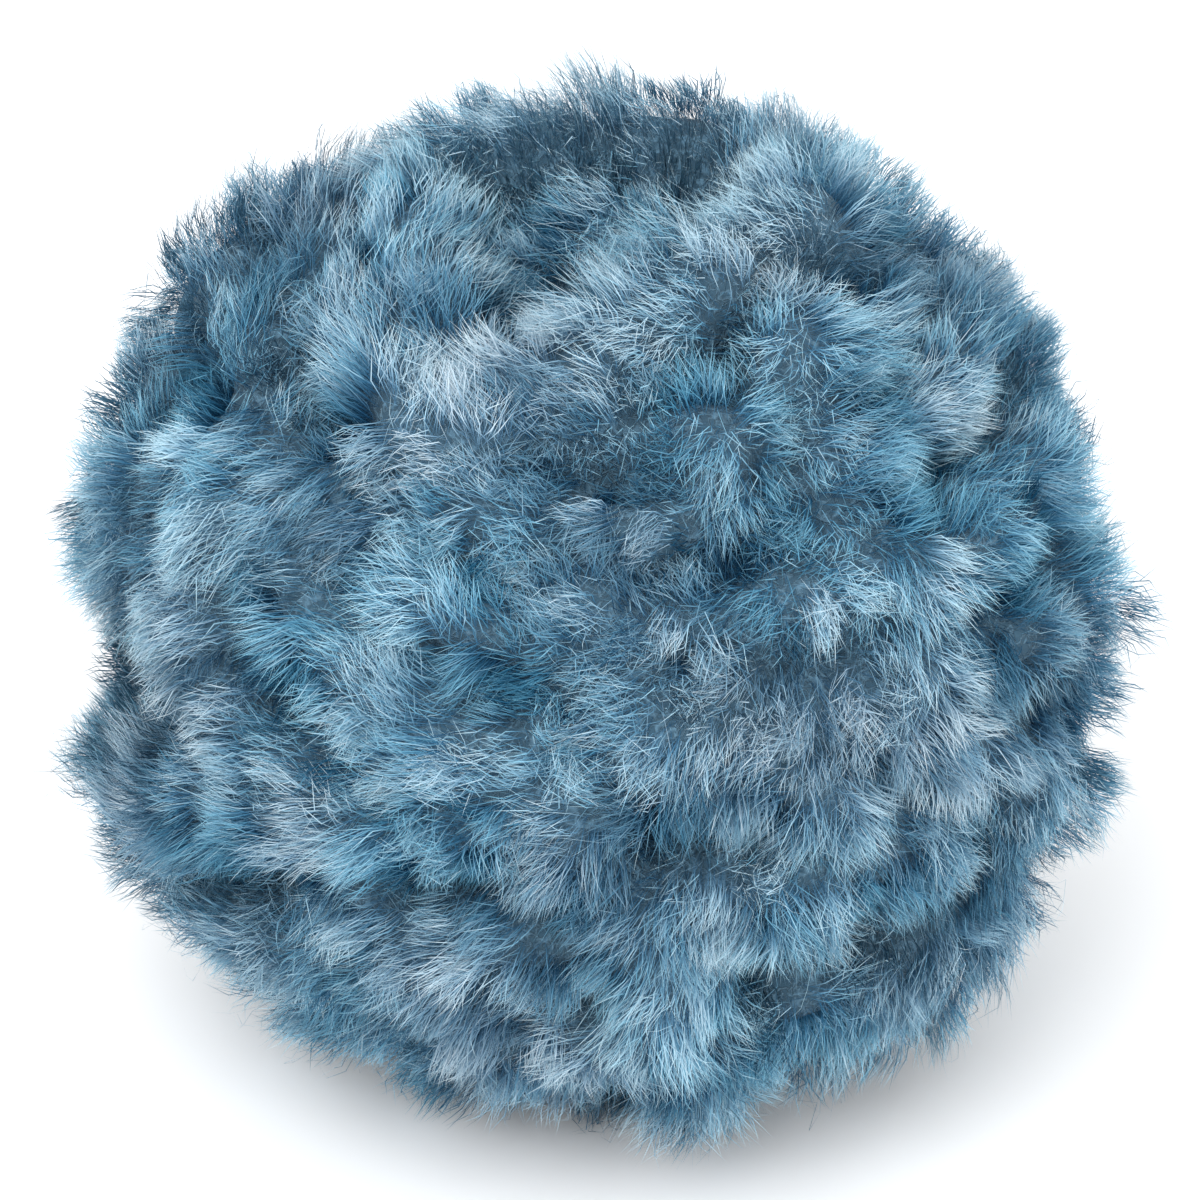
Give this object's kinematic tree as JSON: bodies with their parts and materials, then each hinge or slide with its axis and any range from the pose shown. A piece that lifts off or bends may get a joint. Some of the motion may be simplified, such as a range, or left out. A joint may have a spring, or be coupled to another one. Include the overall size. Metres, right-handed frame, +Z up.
{
  "type": "faux fur yarn ball",
  "caption": "Ball wound from thick faux fur yarn, with shaggy locks of blue pile, a dimple on top and a small flat spot to rest on.",
  "frame": {"origin": "middle of the flat spot that the ball rests on", "axes": "+Z up, away from the flat spot; -Y towards the front of the ball, to which the dimple on top leans; +X to its right"},
  "size_m": [0.1333, 0.132, 0.1253],
  "materials": {
    "fur_pile": "matte"
  },
  "bodies": {
    "root": {"yarn_ball": "fur_pile"}
  },
  "joints": []
}
